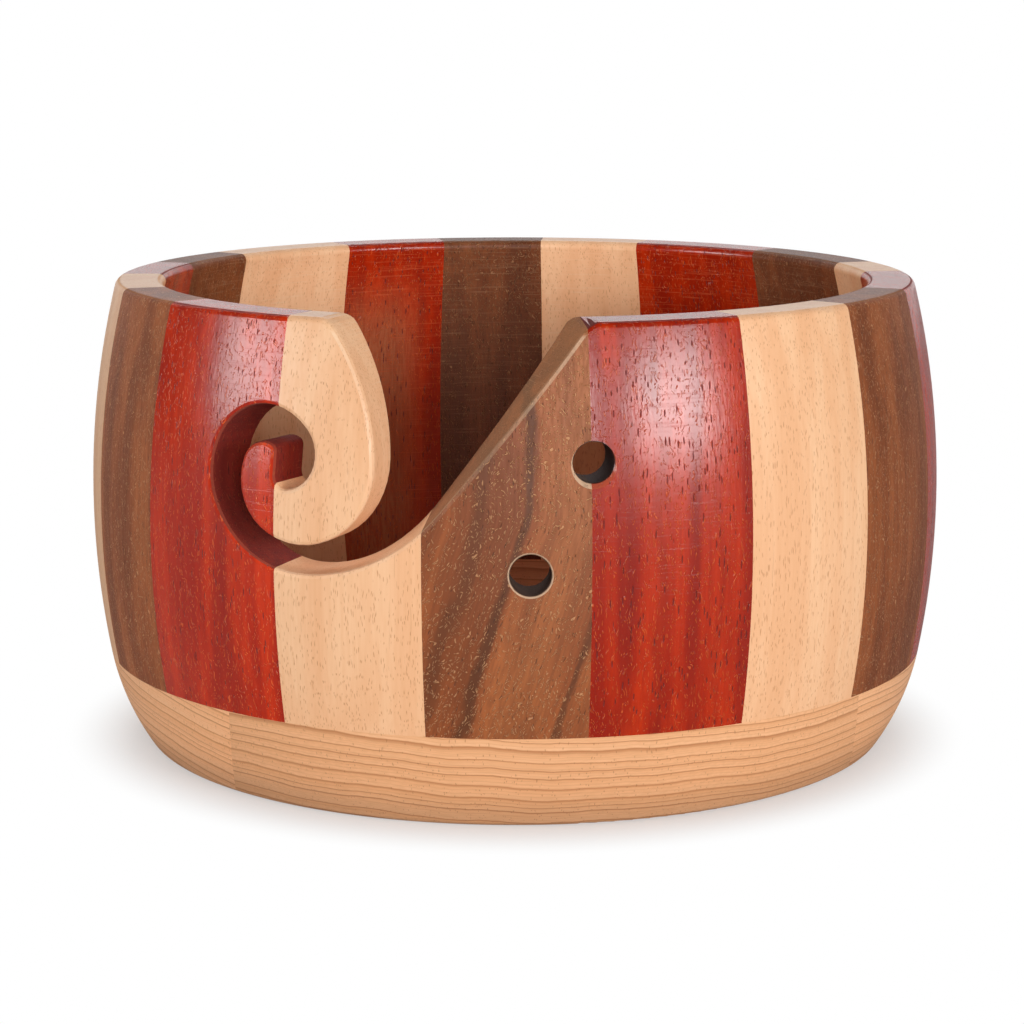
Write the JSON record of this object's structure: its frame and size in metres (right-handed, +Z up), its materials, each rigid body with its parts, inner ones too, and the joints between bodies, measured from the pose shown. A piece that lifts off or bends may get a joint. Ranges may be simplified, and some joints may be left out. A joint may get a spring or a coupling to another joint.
{
  "type": "yarn bowl",
  "caption": "Turned wooden yarn bowl of glued staves on a board base, with a spiral yarn slot through the rim and two needle holes.",
  "frame": {"origin": "centre of the foot, on the surface that the bowl stands on", "axes": "+Z up along the bowl's turning axis, -Y towards the side with the slot, +X to the right seen from that side"},
  "size_m": [0.184, 0.184, 0.1],
  "materials": {
    "walnut": "satin oiled",
    "padauk": "satin oiled",
    "beech": "satin oiled",
    "base_beech": "satin oiled"
  },
  "bodies": {
    "root": {"stave_01_walnut": "walnut", "stave_02_padauk": "padauk", "stave_03_beech": "beech", "stave_04_walnut": "walnut", "stave_05_padauk": "padauk", "stave_06_beech": "beech", "stave_07_walnut": "walnut", "stave_08_padauk": "padauk", "stave_09_beech": "beech", "stave_10_walnut": "walnut", "stave_11_padauk": "padauk", "stave_12_beech": "beech", "stave_13_walnut": "walnut", "stave_14_padauk": "padauk", "stave_15_beech": "beech", "stave_16_walnut": "walnut", "stave_17_padauk": "padauk", "stave_18_beech": "beech", "slot_tongue_beech": "beech", "slot_hook_padauk": "padauk", "base_board_left": "base_beech", "base_board_middle": "base_beech", "base_board_right": "base_beech"}
  },
  "joints": []
}
